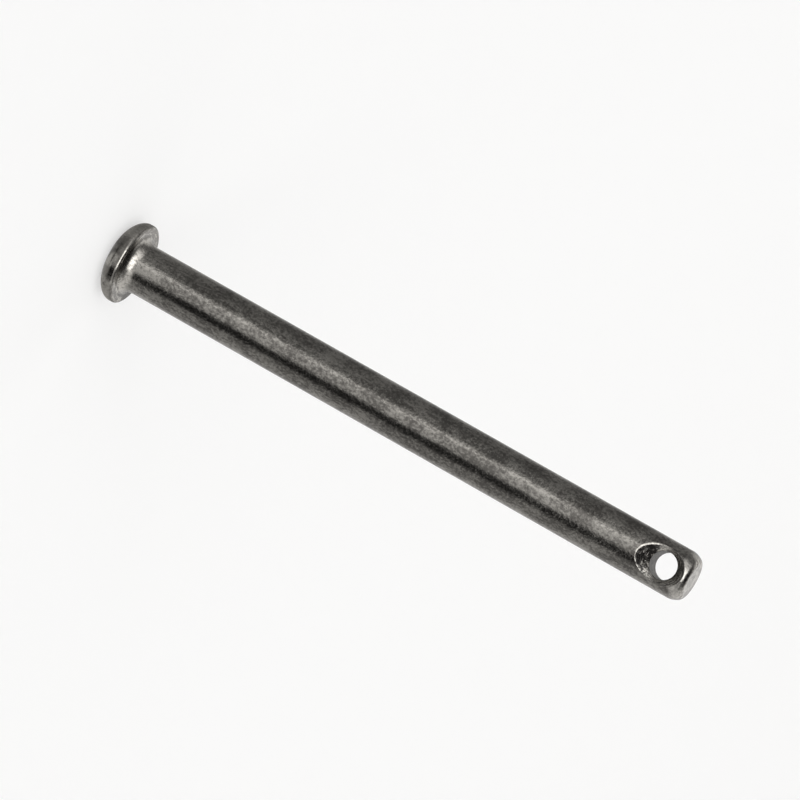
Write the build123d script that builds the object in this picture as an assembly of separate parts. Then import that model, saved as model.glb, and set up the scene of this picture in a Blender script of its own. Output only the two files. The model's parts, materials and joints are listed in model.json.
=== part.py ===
from build123d import *

import os
from math import radians, tan

# Clevis pin, headed and turned from one piece of round steel bar.
# It stands on its head: +Z runs from the head to the point, the origin is the centre
# of the head's top face, and the cross hole runs along Y. Lengths are in millimetres.

# Shank
shank_diameter = 4.65
head_to_hole = 55.89  # from the head's bearing face to the middle of the cross hole

# Head: a thick disc with a crowned top and a flat bearing face
head_height = 1.91
head_overhang = 1.555  # how far the bearing face stands out past the shank
crown_width = 1.75  # radial width of the rounding of the top
crown_fullness = 0.47  # 0.55 gives a quarter ellipse, and less a flatter, more bevelled curve
rim_height = 0.3  # straight band between the crown and the bearing face's edge
rim_edge_radius = 0.28
neck_width = 0.7  # the neck swells from the shank to the bearing face in a quarter ellipse
neck_length = 1.15

# Point: a short cone, with both of its corners rounded off
point_cone_width = 0.43
point_cone_length = 0.9
point_shoulder_radius = 1.5
point_face_edge_radius = 0.65

# Cross hole for a cotter, countersunk from both sides
hole_diameter = 2.52
point_web = 1.37  # metal left between the hole and the end of the point
countersink_width = 1.22
countersink_angle = 100

# Places that follow from the sizes above
shank_radius = shank_diameter / 2
head_radius = shank_radius + head_overhang
head_flat_radius = head_radius - crown_width
crown_depth = head_height - rim_height - rim_edge_radius
neck_radius = shank_radius + neck_width
neck_end = head_height + neck_length
hole_radius = hole_diameter / 2
hole_height = head_height + head_to_hole
total_length = hole_height + hole_radius + point_web
countersink_depth = countersink_width / tan(radians(countersink_angle / 2))


def turned_blank():
    """The pin before drilling: its half outline, turned about Z."""
    with BuildPart() as blank:
        with BuildSketch(Plane.XZ):
            with BuildLine():
                Line((0, total_length), (0, 0))
                Line((0, 0), (head_flat_radius, 0))
                Bezier(
                    (head_flat_radius, 0),
                    (head_flat_radius + crown_fullness * crown_width, 0),
                    (head_radius, (1 - crown_fullness) * crown_depth),
                    (head_radius, crown_depth),
                )
                FilletPolyline(
                    (head_radius, crown_depth),
                    (head_radius, head_height),
                    (neck_radius, head_height),
                    radius=rim_edge_radius,
                )
                EllipticalCenterArc(
                    (neck_radius, neck_end), neck_width, neck_length, start_angle=180, arc_size=90
                )
                FilletPolyline(
                    (shank_radius, neck_end),
                    (shank_radius, total_length - point_cone_length),
                    (shank_radius - point_cone_width, total_length),
                    (0, total_length),
                    radius=[point_shoulder_radius, point_face_edge_radius],
                )
            make_face()
        revolve(axis=Axis.Z)
    return blank.part


def cross_hole_cut():
    """What the drill and the countersink take out: a bore with a cone at each mouth."""
    drill = Cylinder(hole_radius, 2 * shank_diameter, rotation=(90, 0, 0))
    cut = Pos(0, 0, hole_height) * drill
    for side in (1, -1):
        # Each cone runs on past the shank's surface, so that its mouth is cut cleanly.
        cone = Cone(
            bottom_radius=hole_radius,
            top_radius=hole_radius + 2 * countersink_width,
            height=2 * countersink_depth,
            align=(Align.CENTER, Align.CENTER, Align.MIN),
        )
        mouth = Plane(
            origin=(0, side * (shank_radius - countersink_depth), hole_height),
            z_dir=(0, side, 0),
        )
        cut += mouth * cone
    return cut


pin = turned_blank() - cross_hole_cut()

os.makedirs("parts", exist_ok=True)
export_step(pin, "parts/clevis_pin.step")
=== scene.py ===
import json
from math import asin, atan2, cos, pi, radians, sin, tan

import bmesh
import bpy
import numpy as np
from mathutils import Matrix, Vector


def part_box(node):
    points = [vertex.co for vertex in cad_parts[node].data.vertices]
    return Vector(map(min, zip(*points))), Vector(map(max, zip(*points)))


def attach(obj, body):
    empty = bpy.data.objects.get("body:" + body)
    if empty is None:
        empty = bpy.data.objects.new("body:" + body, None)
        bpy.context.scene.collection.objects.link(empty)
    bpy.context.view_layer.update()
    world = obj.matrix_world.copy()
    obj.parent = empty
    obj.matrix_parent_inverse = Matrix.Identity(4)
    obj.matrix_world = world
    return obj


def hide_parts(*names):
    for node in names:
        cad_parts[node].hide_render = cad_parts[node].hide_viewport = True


bl_info = {
    "name": "Clevis pin",
    "version": (1, 0, 0),
    "blender": (4, 5, 0),
    "location": "3D View > Sidebar > Clevis pin",
    "description": "A headed steel clevis pin with a countersunk cross hole, and a small studio to show it in",
    "category": "Add Mesh",
}

# Everything is in metres. The pin stands on its head: +Z runs from the head to the point,
# and the cross hole runs along Y.
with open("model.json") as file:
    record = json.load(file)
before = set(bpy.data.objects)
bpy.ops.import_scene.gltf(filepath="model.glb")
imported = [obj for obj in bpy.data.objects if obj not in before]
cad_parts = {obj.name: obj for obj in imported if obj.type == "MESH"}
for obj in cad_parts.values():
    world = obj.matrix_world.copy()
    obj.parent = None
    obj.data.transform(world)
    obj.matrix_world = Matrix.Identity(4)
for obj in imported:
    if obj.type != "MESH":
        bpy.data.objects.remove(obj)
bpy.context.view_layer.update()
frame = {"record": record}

PIN_NODE = "clevis_pin"
PIN_SLOT = "plain_steel"
MM = 0.001

mounts = {mount["name"]: mount for mount in frame["record"]["mounts"]}
low_corner, high_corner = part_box(PIN_NODE)
SHANK_RADIUS = mounts["shank"]["dims"]["r_mm"] * MM
HOLE_RADIUS = mounts["cotter_hole"]["dims"]["r_mm"] * MM
HOLE_HEIGHT = mounts["cotter_hole"]["pos_m"][2]
HEAD_HEIGHT = mounts["bearing_face"]["pos_m"][2]

MERGE_DISTANCE = 0.0005 * MM  # points closer than this are one point

# The patch that is cut out of the turned form around each mouth of the cross hole.
PATCH_TO_HEAD, PATCH_TO_POINT, PATCH_HALF_TURN = 2.75 * MM, 2.31 * MM, radians(57.5)

# Marks of the tool around the cross hole, as (middle, half width) in degrees from +X towards the point.
HEAVY_WEAR, STEEP_SIDE, SCRAPES = (-132, 75), (125, 60), (-40, 26)
STEEPER_BY = 0.2

# Wear of a mouth's edge, as shares of the rim break: all around, in waves, and added where it is heavy.
EVEN_WEAR, WAVY_WEAR, ADDED_WEAR = 0.45, 0.12, 1.35

# Rows of faces from a patch's edge to the middle of the bore: on the skin, around the worn edge, down
# the countersink, around the bend into the bore, and down the bore. The steps are shares of a bend.
SKIN_ROWS, CONE_ROWS, BORE_ROWS = 11, 12, 8
EDGE_STEPS = (0.16, 0.33, 0.5, 0.67, 0.84, 1.0)
BEND_STEPS = (0.2, 0.4, 0.6, 0.8, 1.0)

# Rows where the look changes. The worn edge looks drilled too, except where the wear is heavy.
EDGE_FROM, DRILLED_FROM, SCRAPED_TO, BORED_FROM = 11, 16, 24, 32
HEAVY_FROM = 0.15

HEIGHT_SLACK, TURN_SLACK = 1e-6, 1e-4  # room for rounding, in metres and radians


def length(name, description, default):
    return bpy.props.FloatProperty(
        name=name, description=description, default=default, min=0, precision=5,
        unit="LENGTH", subtype="DISTANCE",
    )


def angle(name, description, degrees):
    return bpy.props.FloatProperty(
        name=name, description=description, default=radians(degrees), unit="ROTATION", subtype="ANGLE",
    )


def share(name, description, default):
    return bpy.props.FloatProperty(
        name=name, description=description, default=default, min=0, max=1, subtype="FACTOR",
    )


def colour(name, description, default):
    return bpy.props.FloatVectorProperty(
        name=name, description=description, default=default, size=3, min=0, max=1, subtype="COLOR",
    )


class PinSizes(bpy.types.PropertyGroup):
    """Shape of the pin"""

    total_length: length("Length", "From the top of the head to the end of the point", high_corner.z)
    shank_radius: length("Shank radius", "Radius of the plain shank", SHANK_RADIUS)
    head_radius: length("Head radius", "Radius of the head's rim", high_corner.x)
    head_height: length("Head height", "From the top of the head to its bearing face", HEAD_HEIGHT)
    crown_width: length("Crown width", "How far the rounding of the head's top reaches in", 1.75 * MM)
    crown_fullness: share("Crown fullness", "0.55 is a quarter ellipse, less is flatter", 0.47)
    rim_height: length("Rim height", "Straight band below the crown", 0.3 * MM)
    rim_edge: length("Rim edge", "Rounding of the bearing face's outer edge", 0.28 * MM)
    neck_width: length("Neck width", "How far the neck's curve reaches out over the bearing face", 0.7 * MM)
    neck_length: length("Neck length", "How far the neck's curve reaches along the shank", 1.15 * MM)
    cone_width: length("Cone width", "How much the point's cone takes off the radius", 0.43 * MM)
    cone_length: length("Cone length", "Length of the point's cone", 0.9 * MM)
    shoulder_radius: length("Shoulder radius", "Rounding where the cone starts", 1.5 * MM)
    face_edge: length("End face edge", "Rounding of the end face's edge", 0.65 * MM)
    hole_radius: length("Hole radius", "Radius of the cross hole", HOLE_RADIUS)
    hole_height: length("Hole height", "From the head's top to the middle of the cross hole", HOLE_HEIGHT)
    countersink_width: length("Countersink width", "How far a mouth stands out past the hole", 1.22 * MM)
    countersink_angle: angle("Countersink angle", "Full angle of the cone at each mouth", 100)
    rim_break: length("Rim break", "How far the drilled rim is worn back from a sharp corner", 0.08 * MM)
    bore_break: length("Bore break", "Rounding between the countersink and the bore", 0.06 * MM)
    facets: bpy.props.IntProperty(
        name="Facets", description="Faces around the shank, a multiple of four", default=144, min=16, step=4,
    )


class PinFinish(bpy.types.PropertyGroup):
    """Look of the steel"""

    dark_steel: colour("Dark steel", "Colour under the oily film", (0.165, 0.157, 0.147))
    bright_steel: colour("Bright steel", "Colour where the film is rubbed thin", (0.435, 0.42, 0.392))
    # The hole's dark colour stands for soot and also for painted shade.
    drilled_steel: colour("Drilled steel", "Colour of the sooty metal in the hole", (0.05, 0.0485, 0.046))
    cut_steel: colour("Cut steel", "Colour of the freshly cut cone of the point", (0.36, 0.35, 0.33))
    roughness: share("Roughness", "Roughness of the plain metal", 0.14)
    grain_height: length("Grain height", "Height of the fine grain of the surface", 0.024 * MM)


class StudioSettings(bpy.types.PropertyGroup):
    """Floor and camera"""

    floor_colour: colour("Floor", "Colour of the paper floor", (0.93, 0.93, 0.93))
    floor_white: share("Floor's white", "Share of the paper that the camera sees as plain white", 0.5)
    camera_azimuth: angle("Camera azimuth", "Turn of the camera about the pin from straight in front", -2.6)
    camera_elevation: angle("Camera elevation", "Height of the camera above the level", 16.15)
    camera_roll: angle("Camera roll", "Turn of the picture about the line of sight", 119.51)
    camera_distance: length("Camera distance", "From the camera to the pin", 474.5 * MM)
    aim_right: bpy.props.FloatProperty(
        name="Aim right", description="How far the camera aims to the right of the pin's middle",
        default=-0.017 * MM, precision=6, unit="LENGTH", subtype="DISTANCE",
    )
    aim_up: bpy.props.FloatProperty(
        name="Aim up", description="How far the camera aims above the pin's middle, as it sees it",
        default=1.362 * MM, precision=6, unit="LENGTH", subtype="DISTANCE",
    )
    camera_lens: bpy.props.FloatProperty(
        name="Lens", description="Focal length in millimetres", default=242.7, min=1,
    )


# ---------------------------------------------------------------- profile of the turned form


def arc(centre, radius, start, end, steps):
    """Points on an arc in the profile's plane, from one angle to another, both ends included."""
    turns = np.linspace(start, end, steps + 1)
    return np.stack([centre[0] + radius * np.cos(turns), centre[1] + radius * np.sin(turns)], 1)


def run(start, end, steps):
    """Points on a straight run, closer together towards both ends."""
    even = np.linspace(0, 1, steps + 1)
    share_along = 0.35 * even + 0.65 * (1 - np.cos(pi * even)) / 2
    return np.outer(1 - share_along, start) + np.outer(share_along, end)


def crown_curve(s):
    """The rounding of the head's top, from the flat to the rim."""
    depth = s.head_height - s.rim_height - s.rim_edge
    flat = s.head_radius - s.crown_width
    t = np.linspace(0, 1, 33)[:, None]
    p0 = np.array([flat, 0])
    p1 = np.array([flat + s.crown_fullness * s.crown_width, 0])
    p2 = np.array([s.head_radius, depth * (1 - s.crown_fullness)])
    p3 = np.array([s.head_radius, depth])
    return (1 - t) ** 3 * p0 + 3 * (1 - t) ** 2 * t * p1 + 3 * (1 - t) * t ** 2 * p2 + t ** 3 * p3


class Point:
    """Where the shank turns into the point's cone, and the cone into the end face."""

    def __init__(self, s):
        self.lean = atan2(s.cone_width, s.cone_length)
        self.corner = s.total_length - s.cone_length
        reach = s.shoulder_radius * tan(self.lean / 2)
        self.shoulder_start = self.corner - reach
        self.shoulder_end = self.corner + reach * cos(self.lean)
        edge_reach = s.face_edge * tan((pi / 2 - self.lean) / 2)
        self.cone_end = s.total_length - edge_reach * cos(self.lean)
        self.face_radius = s.shank_radius - s.cone_width - edge_reach
        self.s = s

    def radius(self, height):
        """Radius of the turned form at heights between the neck and the end face."""
        s = self.s
        shoulder = s.shank_radius - s.shoulder_radius + np.sqrt(
            np.maximum(s.shoulder_radius ** 2 - (height - self.shoulder_start) ** 2, 0)
        )
        cone = s.shank_radius - (height - self.corner) * tan(self.lean)
        rounding = self.face_radius + np.sqrt(
            np.maximum(s.face_edge ** 2 - (height - s.total_length + s.face_edge) ** 2, 0)
        )
        radius = np.where(height > self.shoulder_start, shoulder, s.shank_radius)
        radius = np.where(height > self.shoulder_end, cone, radius)
        return np.where(height > self.cone_end, rounding, radius)


def hole_window(s):
    """Lowest and highest edge of the patch around each mouth of the hole, and its half width in facets."""
    high = max(s.hole_height + PATCH_TO_POINT, Point(s).cone_end)
    return s.hole_height - PATCH_TO_HEAD, high, round(s.facets * PATCH_HALF_TURN / (2 * pi))


def pin_profile(s):
    """(radius, height) points of the turned form, from the head's top to the end face."""
    point = Point(s)
    low, high, _ = hole_window(s)
    radius = s.shank_radius
    edge_middle = s.head_height - s.rim_edge
    face_middle = s.total_length - s.face_edge
    high_turn = asin((high - face_middle) / s.face_edge)
    neck = radius + s.neck_width
    neck_turn = np.linspace(0, pi / 2, 15)
    neck_radii = neck - s.neck_width * np.sin(neck_turn)
    neck_heights = s.head_height + s.neck_length * (1 - np.cos(neck_turn))
    pieces = [
        run((0, 0), (s.head_radius - s.crown_width, 0), 8),
        crown_curve(s),
        run((s.head_radius, edge_middle - s.rim_height), (s.head_radius, edge_middle), 5),
        arc((s.head_radius - s.rim_edge, edge_middle), s.rim_edge, 0, pi / 2, 6),
        run((s.head_radius - s.rim_edge, s.head_height), (neck, s.head_height), 12),
        np.stack([neck_radii, neck_heights], 1),
        run((radius, s.head_height + s.neck_length), (radius, low), 110),
        run((radius, low), (radius, point.shoulder_start), 34),
        arc((radius - s.shoulder_radius, point.shoulder_start), s.shoulder_radius, 0, point.lean, 8),
        run(*[(float(point.radius(z)), z) for z in (point.shoulder_end, point.cone_end)], 4),
        arc((point.face_radius, face_middle), s.face_edge, point.lean, high_turn, 3),
        arc((point.face_radius, face_middle), s.face_edge, high_turn, pi / 2, 10),
        run((point.face_radius, s.total_length), (0, s.total_length), 12),
    ]
    points = [pieces[0][0]]
    for piece in pieces:
        points += list(piece[1:])
    return points


# ---------------------------------------------------------------- geometry nodes: the lathe


class Tree:
    """Short calls for placing nodes in a tree and joining them."""

    def __init__(self, tree):
        self.tree = tree

    def node(self, kind, **settings):
        made = self.tree.nodes.new(kind)
        for name, value in settings.items():
            setattr(made, name, value)
        return made

    def join(self, socket, value):
        if isinstance(value, bpy.types.NodeSocket):
            self.tree.links.new(value, socket)
        elif value is not None:
            socket.default_value = value

    def math(self, operation, a, b=None, c=None):
        made = self.node("ShaderNodeMath", operation=operation)
        for socket, value in zip(made.inputs, (a, b, c)):
            self.join(socket, value)
        return made.outputs[0]

    def plus(self, a, b):
        return self.math("ADD", a, b)

    def minus(self, a, b):
        return self.math("SUBTRACT", a, b)

    def times(self, a, b):
        return self.math("MULTIPLY", a, b)

    def split(self, vector):
        parts = self.node("ShaderNodeSeparateXYZ")
        self.join(parts.inputs[0], vector)
        return parts.outputs

    def combine(self, x, y, z):
        made = self.node("ShaderNodeCombineXYZ")
        for socket, value in zip(made.inputs, (x, y, z)):
            self.join(socket, value)
        return made.outputs[0]

    def fade(self, value, start, end, low=0.0, high=1.0):
        """A smooth step from low to high while the value goes from start to end."""
        made = self.node("ShaderNodeMapRange", interpolation_type="SMOOTHSTEP")
        given = {"Value": value, "From Min": start, "From Max": end, "To Min": low, "To Max": high}
        for name, number in given.items():
            self.join(made.inputs[name], number)
        return made.outputs[0]

    def mix(self, factor, a, b):
        """The colour a, turned into b by the factor."""
        made = self.node("ShaderNodeMix", data_type="RGBA")
        self.join(made.inputs[0], factor)
        for socket, value in ((made.inputs[6], a), (made.inputs[7], b)):
            self.join(socket, value if isinstance(value, bpy.types.NodeSocket) else (*value, 1))
        return made.outputs[2]

    def pattern(self, place, scale, stretch=1.0, detail=3.0, roughness=0.6):
        """Cloudy noise, drawn out along Z where the stretch is under 1."""
        mapping = self.node("ShaderNodeMapping")
        self.join(mapping.inputs["Vector"], place)
        mapping.inputs["Scale"].default_value = (1, 1, stretch)
        noise = self.node("ShaderNodeTexNoise")
        self.join(noise.inputs["Vector"], mapping.outputs[0])
        for name, value in (("Scale", scale), ("Detail", detail), ("Roughness", roughness)):
            noise.inputs[name].default_value = value
        return noise.outputs["Fac"]

    def rings(self, a, b, scale, closeness, wander, drift=0.0):
        """Noise drawn out into rings about the middle of the plane of a and b; it wanders around them, and
        drifts along their axis."""
        radius = self.math("SQRT", self.plus(self.times(a, a), self.times(b, b)))
        turn = self.math("ARCTAN2", b, a)
        place = self.combine(self.times(radius, closeness), self.times(turn, wander), drift)
        return self.pattern(place, scale)


def lathe_tree():
    """Geometry nodes that turn a profile, a chain of points in the XZ plane, about Z."""
    tree = bpy.data.node_groups.new("lathe", "GeometryNodeTree")
    tree.interface.new_socket("Profile", in_out="INPUT", socket_type="NodeSocketGeometry")
    facets = tree.interface.new_socket("Facets", in_out="INPUT", socket_type="NodeSocketInt")
    facets.default_value, facets.min_value = 144, 16
    tree.interface.new_socket("Material", in_out="INPUT", socket_type="NodeSocketMaterial")
    tree.interface.new_socket("Turned form", in_out="OUTPUT", socket_type="NodeSocketGeometry")
    t = Tree(tree)
    inputs, output = t.node("NodeGroupInput"), t.node("NodeGroupOutput")

    size = t.node("GeometryNodeAttributeDomainSize", component="MESH")
    t.join(size.inputs["Geometry"], inputs.outputs["Profile"])
    columns = t.plus(inputs.outputs["Facets"], 1.0)
    grid = t.node("GeometryNodeMeshGrid")
    t.join(grid.inputs["Vertices X"], size.outputs["Point Count"])
    t.join(grid.inputs["Vertices Y"], columns)

    index = t.node("GeometryNodeInputIndex").outputs[0]
    row = t.math("FLOOR", t.math("DIVIDE", t.plus(index, 0.25), columns))
    column = t.minus(index, t.times(row, columns))
    turn = t.times(t.math("DIVIDE", column, inputs.outputs["Facets"]), 2 * pi)
    sample = t.node("GeometryNodeSampleIndex", data_type="FLOAT_VECTOR", domain="POINT")
    t.join(sample.inputs["Geometry"], inputs.outputs["Profile"])
    t.join(sample.inputs["Value"], t.node("GeometryNodeInputPosition").outputs[0])
    t.join(sample.inputs["Index"], row)
    radius, _, height = t.split(sample.outputs["Value"])
    across, along = (t.times(radius, t.math(part, turn)) for part in ("COSINE", "SINE"))

    placed = t.node("GeometryNodeSetPosition")
    t.join(placed.inputs["Geometry"], grid.outputs["Mesh"])
    t.join(placed.inputs["Position"], t.combine(across, along, height))
    merged = t.node("GeometryNodeMergeByDistance")
    t.join(merged.inputs["Geometry"], placed.outputs[0])
    t.join(merged.inputs["Distance"], MERGE_DISTANCE)
    smooth = t.node("GeometryNodeSetShadeSmooth")
    t.join(smooth.inputs[0], merged.outputs[0])
    real = t.node("GeometryNodeRealizeInstances")
    t.join(real.inputs[0], smooth.outputs[0])
    finish = t.node("GeometryNodeSetMaterial")
    t.join(finish.inputs["Geometry"], real.outputs[0])
    t.join(finish.inputs["Material"], inputs.outputs["Material"])
    t.join(output.inputs[0], finish.outputs[0])
    return tree


def turn_on_lathe(name, points, facets, material):
    """A plain mesh object of the profile turned about Z."""
    profile = bpy.data.meshes.new(name + "_profile")
    profile.from_pydata(
        [(radius, 0, height) for radius, height in points],
        [(i, i + 1) for i in range(len(points) - 1)], [],
    )
    blank = bpy.data.objects.new(name + "_blank", profile)
    bpy.context.scene.collection.objects.link(blank)
    tree = lathe_tree()
    modifier = blank.modifiers.new("lathe", "NODES")
    modifier.node_group = tree
    sockets = {item.name: item.identifier for item in tree.interface.items_tree if item.in_out == "INPUT"}
    modifier[sockets["Facets"]] = facets
    modifier[sockets["Material"]] = material
    evaluated = blank.evaluated_get(bpy.context.evaluated_depsgraph_get())
    mesh = bpy.data.meshes.new_from_object(evaluated)
    blank.modifiers.remove(modifier)
    bpy.data.objects.remove(blank)
    bpy.data.meshes.remove(profile)
    bpy.data.node_groups.remove(tree)
    mesh.materials.clear()
    mesh.materials.append(material)
    mesh.polygons.foreach_set("material_index", [0] * len(mesh.polygons))
    piece = bpy.data.objects.new(name, mesh)
    bpy.context.scene.collection.objects.link(piece)
    return piece


# ---------------------------------------------------------------- the cross hole


def around(turn, hill):
    """A smooth hill, 1 at its middle angle around the hole and 0 beyond its half width."""
    middle, half = (radians(value) for value in hill)
    off = np.abs((turn - middle + pi) % (2 * pi) - pi) / half
    return np.where(off < 1, (1 + np.cos(pi * np.minimum(off, 1))) / 2, 0)


def unevenness(turn):
    """How heavily a mouth's edge is worn around the hole: most on the head's side, towards -X."""
    wander = 0.5 * np.sin(3 * turn + 0.7) + 0.3 * np.sin(7 * turn + 2.1) + 0.2 * np.sin(13 * turn + 4.4)
    return EVEN_WEAR + WAVY_WEAR * wander + ADDED_WEAR * around(turn, HEAVY_WEAR)


def bend(t, start, corner, end):
    """A point of the rounding between two ends of a corner."""
    return (1 - t) ** 2 * start + 2 * t * (1 - t) * corner + t ** 2 * end


def hole_rows(s, x, z):
    """Rows of (distance from the hole's axis, height off the shank's middle plane), from a patch's edge
    to the middle of the bore, for the edge's points (x, z), and the angle of each point around the hole."""
    point = Point(s)
    widening = tan(s.countersink_angle / 2)
    turn = np.arctan2(z - s.hole_height, x)
    start = np.hypot(x, z - s.hole_height)
    mouth = s.hole_radius + s.countersink_width
    bore_half = s.shank_radius - s.countersink_width / widening
    straight_half = bore_half - s.bore_break

    def skin(rho):
        r = point.radius(s.hole_height + rho * np.sin(turn))
        return np.sqrt(np.maximum(r ** 2 - (rho * np.cos(turn)) ** 2, 0))

    def cone(rho):
        steeper = 1 + STEEPER_BY * around(turn, STEEP_SIDE)
        return bore_half + (rho - s.hole_radius) / widening * steeper

    # The rim is where the countersink meets the skin, found by halving.
    inside, outside = np.full_like(start, s.hole_radius), np.minimum(start, mouth)
    for _ in range(50):
        middle = (inside + outside) / 2
        deep = skin(middle) > cone(middle)
        inside, outside = np.where(deep, middle, inside), np.where(deep, outside, middle)
    rim = (inside + outside) / 2
    tiny = 1e-6
    slope = (skin(rim + tiny) - skin(rim)) / tiny
    rim_break = s.rim_break * unevenness(turn)
    out_rho = rim + rim_break / np.sqrt(1 + slope ** 2)
    in_rho = rim - rim_break * sin(s.countersink_angle / 2)
    cone_end = s.hole_radius + s.bore_break * sin(s.countersink_angle / 2)

    rows = []
    for w in 1 - np.linspace(0, 1, SKIN_ROWS + 1)[1:] ** 0.7:  # closer together towards the rim
        rho = out_rho + (start - out_rho) * w
        rows.append((rho, skin(rho)))
    for t in EDGE_STEPS:
        rows.append((bend(t, out_rho, rim, in_rho), bend(t, skin(out_rho), skin(rim), cone(in_rho))))
    for w in run((1,), (0,), CONE_ROWS)[1:, 0]:
        rho = cone_end + (in_rho - cone_end) * w
        rows.append((rho, cone(rho)))
    for t in BEND_STEPS:
        rows.append((
            np.full_like(start, bend(t, cone_end, s.hole_radius, s.hole_radius)),
            np.full_like(start, bend(t, cone(cone_end), bore_half, straight_half)),
        ))
    for w in np.linspace(1, 0, BORE_ROWS + 1)[1:]:
        rows.append((np.full_like(start, s.hole_radius), np.full_like(start, straight_half * w)))
    return turn, rows


def edge_loop(bm, side):
    """Vertices of the open edge on one side of the pin, in order around it."""
    edges = [e for e in bm.edges if e.is_boundary and all(v.co.y * side > 0 for v in e.verts)]
    follow = {}
    for e in edges:
        for v in e.verts:
            follow.setdefault(v, []).append(e)
    first = edges[0].verts[0]
    loop, vertex, edge = [first], first, edges[0]
    while True:
        vertex = edge.other_vert(vertex)
        if vertex == first:
            return loop
        loop.append(vertex)
        edge = next(e for e in follow[vertex] if e != edge)


def drill_cross_hole(mesh, s):
    """Opens a patch around each mouth of the hole and closes it again with the rim, countersink and bore.

    Two attributes say what a point belongs to: drilled is 0 on the skin, 1 in the countersink and 2 in
    the bore, and scraped is 1 in the middle of the scrapes."""
    low, high, half_facets = hole_window(s)
    half_turn = half_facets * 2 * pi / s.facets + TURN_SLACK
    bm = bmesh.new()
    bm.from_mesh(mesh)
    drilled, scraped = bm.verts.layers.float.new("drilled"), bm.verts.layers.float.new("scraped")
    hole_faces = []
    for face in bm.faces:
        inside = all(
            low - HEIGHT_SLACK < v.co.z < high + HEIGHT_SLACK
            and abs(atan2(v.co.x, abs(v.co.y))) < half_turn
            for v in face.verts
        )
        if inside:
            hole_faces.append(face)
    bmesh.ops.delete(bm, geom=hole_faces, context="FACES")
    for side in (-1, 1):
        loop = edge_loop(bm, side)
        turn, rows = hole_rows(s, np.array([v.co.x for v in loop]), np.array([v.co.z for v in loop]))
        scrapes, heavy_wear = around(turn, SCRAPES), around(turn, HEAVY_WEAR)
        last = loop
        for count, (rho, y) in enumerate(rows):
            made = [
                bm.verts.new((rho[i] * cos(turn[i]), side * y[i], s.hole_height + rho[i] * sin(turn[i])))
                for i in range(len(loop))
            ]
            for i in range(len(loop)):
                j = (i + 1) % len(loop)
                face = bm.faces.new((last[i], last[j], made[j], made[i]))
                face.smooth = True
                drilled_from = DRILLED_FROM if heavy_wear[i] > HEAVY_FROM else EDGE_FROM
                made[i][drilled] = (count >= drilled_from) + (count >= BORED_FROM)
                made[i][scraped] = scrapes[i] if DRILLED_FROM <= count <= SCRAPED_TO else 0
            last = made
    bmesh.ops.remove_doubles(bm, verts=bm.verts[:], dist=MERGE_DISTANCE)
    # Rounding must not lift a point past the whole length.
    for v in bm.verts:
        v.co.z = min(max(v.co.z, 0), s.total_length)
    bmesh.ops.recalc_face_normals(bm, faces=bm.faces[:])
    bm.to_mesh(mesh)
    bm.free()
    mesh.update()


# ---------------------------------------------------------------- finishes


def new_material(name):
    """A material, the short calls for its tree, and its shader."""
    material = bpy.data.materials.new(name)
    material.use_nodes = True
    return material, Tree(material.node_tree), material.node_tree.nodes["Principled BSDF"]


def shade(base, factor):
    """A colour made darker or lighter."""
    return tuple(min(1, factor * part) for part in base)


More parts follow.
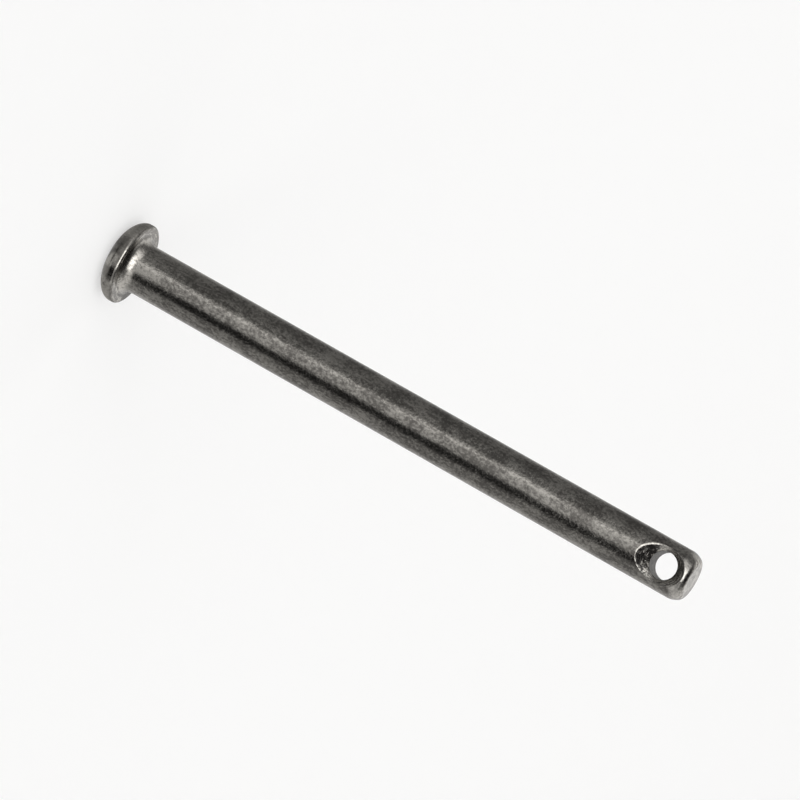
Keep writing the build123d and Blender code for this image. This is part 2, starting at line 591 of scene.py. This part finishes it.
def steel_material(finish, sizes):
    """Plain headed steel under a dark oily film, with a dirty head and a sooty cross hole; painted shade
    darkens parts of the head and the hole, and painted light brightens the rim towards -X.
    """
    material, t, shader = new_material(PIN_SLOT)
    place = t.node("ShaderNodeTexCoord").outputs["Object"]
    x, y, height = t.split(place)
    drop = t.minus(height, sizes.hole_height)

    # Where a spot lies on the pin.
    drilled = t.node("ShaderNodeAttribute", attribute_name="drilled").outputs["Fac"]
    scraped = t.node("ShaderNodeAttribute", attribute_name="scraped").outputs["Fac"]
    in_hole, bored = t.fade(drilled, 0, 1), t.fade(drilled, 1.1, 1.9)
    near_head = t.fade(height, 2.5 * MM, 10 * MM, 1, 0)
    end, face = sizes.total_length, sizes.head_height
    on_cone = t.times(
        t.fade(height, end - 1.25 * MM, end - MM), t.fade(height, end - 0.3 * MM, end - 0.15 * MM, 1, 0),
    )
    on_bearing_face = t.fade(t.math("ABSOLUTE", t.minus(height, face)), 0.02 * MM, 0.12 * MM, 1, 0)
    on_rim = t.fade(height, face - 0.35 * MM, face - 0.1 * MM, 1, 0)
    on_rim_and_edge = t.fade(height, face - 0.12 * MM, face, 1, 0)

    # Rings on the head, drill marks in the hole, and the film's grain, blotches and specks.
    turned_rings = t.rings(x, y, 1.6, closeness=2200, wander=1.1)
    drill_marks = t.rings(x, drop, 1.5, closeness=5200, wander=1.6, drift=t.times(y, 900))
    grain = t.pattern(place, 4600, stretch=0.75, roughness=0.65)
    blotches = t.pattern(place, 700, stretch=0.6, detail=4)
    specks = t.pattern(place, 7800, stretch=0.9, detail=2)

    # The film, thinner near the head, with a freshly cut cone. On the bearing face it lies in rings, and
    # painted shade darkens the whole face.
    tone = t.plus(t.times(blotches, 0.45), t.times(grain, 0.55))
    tone = t.plus(tone, t.times(near_head, 0.06))
    # Turned rings on the bearing face, shifted darker overall as painted shade.
    tone = t.plus(tone, t.times(on_bearing_face, t.minus(t.times(turned_rings, 0.8), 0.51)))
    steel = t.mix(t.fade(tone, 0.4, 0.62), finish.dark_steel, finish.bright_steel)
    steel = t.mix(t.times(on_cone, 0.5), steel, finish.cut_steel)

    # The head's rim: rougher at both sides, where painted shade also darkens its edge; lighter towards -X by
    # painted light; with smudges of dirt and one patch of painted shade on the edge.
    # Painted shade: the rim's edge is darkened at both sides, and it is also made rougher there.
    rough_and_shaded_left = t.times(on_rim_and_edge, t.fade(x, -1.4 * MM, -0.7 * MM, 1, 0))
    rough_and_shaded_right = t.times(on_rim_and_edge, t.fade(x, 2 * MM, 2.6 * MM))
    rough_and_shaded_sides = t.math("MAXIMUM", rough_and_shaded_left, rough_and_shaded_right)
    # Painted light: the rim is made lighter towards -X.
    painted_light_on_rim = t.times(on_rim, t.fade(x, -2.6 * MM, -1.6 * MM, 0.55, 0))
    # Painted shade: a patch on the rim's edge towards +X.
    patch = t.times(t.fade(x, 0.8 * MM, 1.2 * MM), t.fade(x, 1.8 * MM, 2.5 * MM, 0.6, 0))
    smudges = t.fade(t.pattern(place, 420, stretch=0.8, roughness=0.65), 0.42, 0.6, 0.75, 0)

    # A dark spot of painted shade with a ragged edge on the bearing face, long in Y.
    across = t.math("ABSOLUTE", t.minus(x, 3 * MM))
    along = t.times(t.math("ABSOLUTE", t.minus(y, 2 * MM)), 0.3)
    ragged = t.times(t.minus(blotches, 0.5), 1.5 * MM)
    spot = t.fade(t.plus(t.plus(across, along), ragged), 0.4 * MM, 1.3 * MM, 0.95, 0)

    # The rim's smudges are dirt; the spot, the rim's sides and the patch add painted shade.
    dirt_and_painted_shade = t.plus(t.times(on_rim, smudges), t.times(on_bearing_face, spot))
    dirt_and_painted_shade = t.math("MAXIMUM", dirt_and_painted_shade, t.times(t.minus(rough_and_shaded_sides, on_rim), 0.6))
    dirt_and_painted_shade = t.math("MAXIMUM", dirt_and_painted_shade, t.times(on_rim_and_edge, patch))
    # Painted light towards -X first, then dirt and painted shade darken the steel.
    steel = t.mix(painted_light_on_rim, steel, finish.bright_steel)
    steel = t.mix(t.times(dirt_and_painted_shade, t.minus(1, painted_light_on_rim)), steel, shade(finish.dark_steel, 0.3))

    # The hole: soot and painted shade, darkest towards the head and streaked towards the point, with clean
    # specks, scrapes, and a matt bore whose dark colour is partly painted shade.
    washed_out = shade(finish.drilled_steel, 3.6)
    streaked = t.mix(t.fade(drill_marks, 0.42, 0.6), washed_out, finish.bright_steel)
    # Darker towards the head: soot, with painted shade on the wall on the head's side.
    soot_and_painted_shade = t.mix(t.fade(drop, -1.3 * MM, -0.3 * MM), finish.drilled_steel, streaked)
    clean = t.plus(t.times(t.pattern(place, 2400, roughness=0.7), 0.7), t.times(drill_marks, 0.3))
    soot_and_painted_shade = t.mix(t.fade(clean, 0.5, 0.6), soot_and_painted_shade, finish.bright_steel)
    soot_and_painted_shade = t.mix(t.times(scraped, t.fade(specks, 0.45, 0.6)), soot_and_painted_shade, shade(finish.cut_steel, 2.2))
    # The bore's dark colour: soot, with painted shade.
    soot_and_painted_shade = t.mix(t.times(bored, 0.85), soot_and_painted_shade, shade(finish.drilled_steel, 1.4))

    # Roughness and relief.
    rough = t.fade(specks, 0.3, 0.7, finish.roughness - 0.05, finish.roughness + 0.07)
    for mask, more in ((near_head, 0.05), (in_hole, 0.02), (scraped, 0.2), (bored, 0.3), (rough_and_shaded_sides, 0.35)):
        rough = t.plus(rough, t.times(mask, more))
    relief = t.plus(t.times(grain, 0.7), t.times(specks, 0.3))
    relief = t.plus(relief, t.times(in_hole, t.times(drill_marks, 1.2)))
    bump = t.node("ShaderNodeBump")
    bump.inputs["Strength"].default_value = 1
    bump.inputs["Distance"].default_value = finish.grain_height
    t.join(bump.inputs["Height"], relief)

    t.join(shader.inputs["Base Color"], t.mix(in_hole, steel, soot_and_painted_shade))
    t.join(shader.inputs["Metallic"], t.minus(1, t.times(bored, 0.7)))
    t.join(shader.inputs["Roughness"], rough)
    t.join(shader.inputs["Normal"], bump.outputs[0])
    return material


def floor_material(settings):
    """Matt paper, a part of which the camera sees as plain white, so that the shadow on it stays light."""
    material, t, shader = new_material("floor_paper")
    shader.inputs["Roughness"].default_value = 0.9
    shader.inputs["Specular IOR Level"].default_value = 0.1
    noise = t.node("ShaderNodeTexNoise")
    t.join(noise.inputs["Vector"], t.node("ShaderNodeTexCoord").outputs["Object"])
    noise.inputs["Scale"].default_value = 40
    paper = t.mix(noise.outputs["Fac"], shade(settings.floor_colour, 0.995), settings.floor_colour)
    t.join(shader.inputs["Base Color"], paper)

    plain_white = t.node("ShaderNodeEmission")
    to_camera = t.node("ShaderNodeLightPath").outputs["Is Camera Ray"]
    blend = t.node("ShaderNodeMixShader")
    t.join(blend.inputs[0], t.times(to_camera, settings.floor_white))
    t.join(blend.inputs[1], shader.outputs[0])
    t.join(blend.inputs[2], plain_white.outputs[0])
    t.join(material.node_tree.nodes["Material Output"].inputs["Surface"], blend.outputs[0])
    return material


# ---------------------------------------------------------------- the studio

FLOOR_RADIUS, FLOOR_RINGS = 1.5, 6
COVE_RADIUS, COVE_STEPS = 0.3, 8
WALL_HEIGHT = 0.5
FLOOR_FACETS = 96

# Soft panels around the pin, as (name, azimuth, half width, elevation, half height, softness of the
# edges, strength), with the angles in degrees. Azimuth 0 is in front of the pin (-Y), and +90 is its
# right side (+X). Where panels overlap, the later one covers the earlier one.
PANELS = [
    ("right wall", 105, 30, -18, 14, 22, 0.4),
    ("left glow", -66, 7, -16, 8, 8, 0.26),
    ("grey back below", 165, 45, -20, 30, 26, 0.6),
    ("dark ceiling", 0, 180, 90, 24, 10, 0.05),
    ("white back wall", 165, 77, 26, 26, 14, 1.0),
    ("pale table below", 0, 180, -90, 45, 14, 0.66),
    ("right window", 54, 38, 12, 20, 9, 0.9),
    ("far left window", -66, 12, 22, 26, 9, 0.8),
    ("left window", -33, 28, 20, 25, 11, 1.4),
    ("front softbox", -7, 28, -26, 20, 6, 0.58),
    ("upper part of the softbox", -7, 27, -8, 6, 10, 0.85),
    ("bright core of the softbox", -21, 4, -18, 12, 6, 1.4),
    ("black flag", 44, 16, -24, 16, 5, 0.02),
    ("shade below the camera", 0, 50, -68, 7, 7, 0.05),
    ("key strip above the camera", -6, 32, 31, 18, 9, 3.4),
]
SURROUND = 0.2  # strength between the panels
ROOM_COLOUR = (1, 0.99, 0.975, 1)

TOP_PLACE, TOP_SIZE, TOP_LEVEL = (0, 0.05, 1.1), 0.9, 1.3
AIM_HEIGHT = 13 * SHANK_RADIUS  # about the middle of the pin


def panel_group():
    """A shader node group: how much of one soft panel a direction meets."""
    tree = bpy.data.node_groups.new("soft_panel", "ShaderNodeTree")
    for name in (
        "Azimuth", "Elevation", "Panel azimuth", "Half width", "Panel elevation", "Half height", "Softness",
    ):
        tree.interface.new_socket(name, in_out="INPUT", socket_type="NodeSocketFloat")
    tree.interface.new_socket("Mask", in_out="OUTPUT", socket_type="NodeSocketFloat")
    t = Tree(tree)
    inputs, output = t.node("NodeGroupInput"), t.node("NodeGroupOutput")

    def reach(offset, half):
        softness = inputs.outputs["Softness"]
        return t.fade(t.math("ABSOLUTE", offset), t.minus(half, softness), t.plus(half, softness), 1, 0)

    aside = t.minus(inputs.outputs["Azimuth"], inputs.outputs["Panel azimuth"])
    aside = t.math("WRAP", aside, pi, -pi)
    above = t.minus(inputs.outputs["Elevation"], inputs.outputs["Panel elevation"])
    mask = t.times(reach(aside, inputs.outputs["Half width"]), reach(above, inputs.outputs["Half height"]))
    t.join(output.inputs[0], mask)
    return tree


def studio_world():
    """The surroundings that the metal mirrors: a grey room with the soft panels in it."""
    world = bpy.data.worlds.new("studio")
    world.use_nodes = True
    world.cycles.sampling_method = "NONE"
    tree = world.node_tree
    t = Tree(tree)
    x, y, z = t.split(t.node("ShaderNodeTexCoord").outputs["Generated"])
    azimuth = t.math("ARCTAN2", x, t.times(y, -1.0))
    elevation = t.math("ARCSINE", z)
    group = panel_group()
    strength_so_far = SURROUND
    for name, *angles, strength in PANELS:
        panel = t.node("ShaderNodeGroup", node_tree=group, label=name)
        t.join(panel.inputs["Azimuth"], azimuth)
        t.join(panel.inputs["Elevation"], elevation)
        for socket, value in zip(list(panel.inputs)[2:], angles):
            socket.default_value = radians(value)
        mix = t.node("ShaderNodeMix", data_type="FLOAT")
        t.join(mix.inputs[0], panel.outputs[0])
        t.join(mix.inputs[2], strength_so_far)
        t.join(mix.inputs[3], strength)
        strength_so_far = mix.outputs[0]
    t.join(tree.nodes["Background"].inputs["Strength"], strength_so_far)
    tree.nodes["Background"].inputs["Color"].default_value = ROOM_COLOUR
    bpy.context.scene.world = world


def direction(azimuth, elevation):
    """A unit vector; azimuth 0 is in front of the pin and positive towards +X."""
    return Vector((sin(azimuth) * cos(elevation), -cos(azimuth) * cos(elevation), sin(elevation)))


def add_lamp(name, place, target, size, radiance):
    """A square area lamp that faces a point, with the level at which its face shines."""
    lamp = bpy.data.lights.new(name, "AREA")
    lamp.shape, lamp.size = "SQUARE", size
    lamp.energy = radiance * pi * size ** 2
    holder = bpy.data.objects.new(name, lamp)
    turn = (place - target).to_track_quat("Z", "Y").to_matrix().to_4x4()
    holder.matrix_world = Matrix.Translation(place) @ turn
    bpy.context.scene.collection.objects.link(holder)
    return holder


def add_camera(settings, target):
    """The camera, turned about the pin, raised and rolled."""
    right = Vector((cos(settings.camera_azimuth), sin(settings.camera_azimuth), 0))
    back = direction(settings.camera_azimuth, settings.camera_elevation)
    up = back.cross(right)
    roll = settings.camera_roll
    across = cos(roll) * right + sin(roll) * up
    upward = -sin(roll) * right + cos(roll) * up
    camera = bpy.data.cameras.new("camera")
    camera.sensor_width, camera.lens = 36, settings.camera_lens
    holder = bpy.data.objects.new("camera", camera)
    aim = target + settings.aim_right * across + settings.aim_up * upward
    holder.matrix_world = Matrix.Translation(aim + settings.camera_distance * back) @ Matrix(
        (across, upward, back)
    ).transposed().to_4x4()
    bpy.context.scene.collection.objects.link(holder)
    bpy.context.scene.camera = holder


# ---------------------------------------------------------------- operators


class CLEVISPIN_OT_turn_pin(bpy.types.Operator):
    """Make the pin: turn its form on the lathe, drill the cross hole and give it its finish"""

    bl_idname = "clevis_pin.turn_pin"
    bl_label = "Turn the pin"

    def execute(self, context):
        s = context.scene.pin_sizes
        material = steel_material(context.scene.pin_finish, s)
        pin = turn_on_lathe("turned_pin", pin_profile(s), s.facets, material)
        drill_cross_hole(pin.data, s)
        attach(pin, "root")
        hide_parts(PIN_NODE)
        return {"FINISHED"}


class CLEVISPIN_OT_set_studio(bpy.types.Operator):
    """Set the paper floor, the lamp, the surroundings and the camera"""

    bl_idname = "clevis_pin.set_studio"
    bl_label = "Set the studio"

    def execute(self, context):
        settings = context.scene.pin_studio
        paper = [(FLOOR_RADIUS * k / FLOOR_RINGS, 0) for k in range(FLOOR_RINGS + 1)]
        paper += list(arc((FLOOR_RADIUS, COVE_RADIUS), COVE_RADIUS, -pi / 2, 0, COVE_STEPS)[1:])
        paper.append((FLOOR_RADIUS + COVE_RADIUS, WALL_HEIGHT))
        floor = turn_on_lathe("paper_floor", paper, FLOOR_FACETS, floor_material(settings))
        floor.visible_glossy = False
        studio_world()
        top = add_lamp("top_lamp", Vector(TOP_PLACE), Vector((0, 0, 0)), TOP_SIZE, TOP_LEVEL)
        top.visible_glossy = False
        add_camera(settings, Vector((0, 0, AIM_HEIGHT)))
        context.scene.view_settings.view_transform = "Standard"
        return {"FINISHED"}


class CLEVISPIN_PT_panel(bpy.types.Panel):
    """Settings of the pin and its studio, with a button for each"""

    bl_label = "Clevis pin"
    bl_idname = "CLEVISPIN_PT_panel"
    bl_space_type = "VIEW_3D"
    bl_region_type = "UI"
    bl_category = "Clevis pin"

    def draw(self, context):
        groups = (
            (context.scene.pin_sizes, CLEVISPIN_OT_turn_pin),
            (context.scene.pin_finish, None),
            (context.scene.pin_studio, CLEVISPIN_OT_set_studio),
        )
        for group, operator in groups:
            box = self.layout.box()
            for name in group.bl_rna.properties.keys():
                if name not in ("rna_type", "name"):
                    box.prop(group, name)
            if operator:
                box.operator(operator.bl_idname)


classes = (
    PinSizes, PinFinish, StudioSettings, CLEVISPIN_OT_turn_pin, CLEVISPIN_OT_set_studio, CLEVISPIN_PT_panel,
)


def register():
    for cls in classes:
        bpy.utils.register_class(cls)
    bpy.types.Scene.pin_sizes = bpy.props.PointerProperty(type=PinSizes)
    bpy.types.Scene.pin_finish = bpy.props.PointerProperty(type=PinFinish)
    bpy.types.Scene.pin_studio = bpy.props.PointerProperty(type=StudioSettings)


def unregister():
    del bpy.types.Scene.pin_studio, bpy.types.Scene.pin_finish, bpy.types.Scene.pin_sizes
    for cls in reversed(classes):
        bpy.utils.unregister_class(cls)


def main():
    """Register the add-on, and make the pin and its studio."""
    register()
    bpy.ops.clevis_pin.turn_pin()
    bpy.ops.clevis_pin.set_studio()


if __name__ == "__main__":
    main()
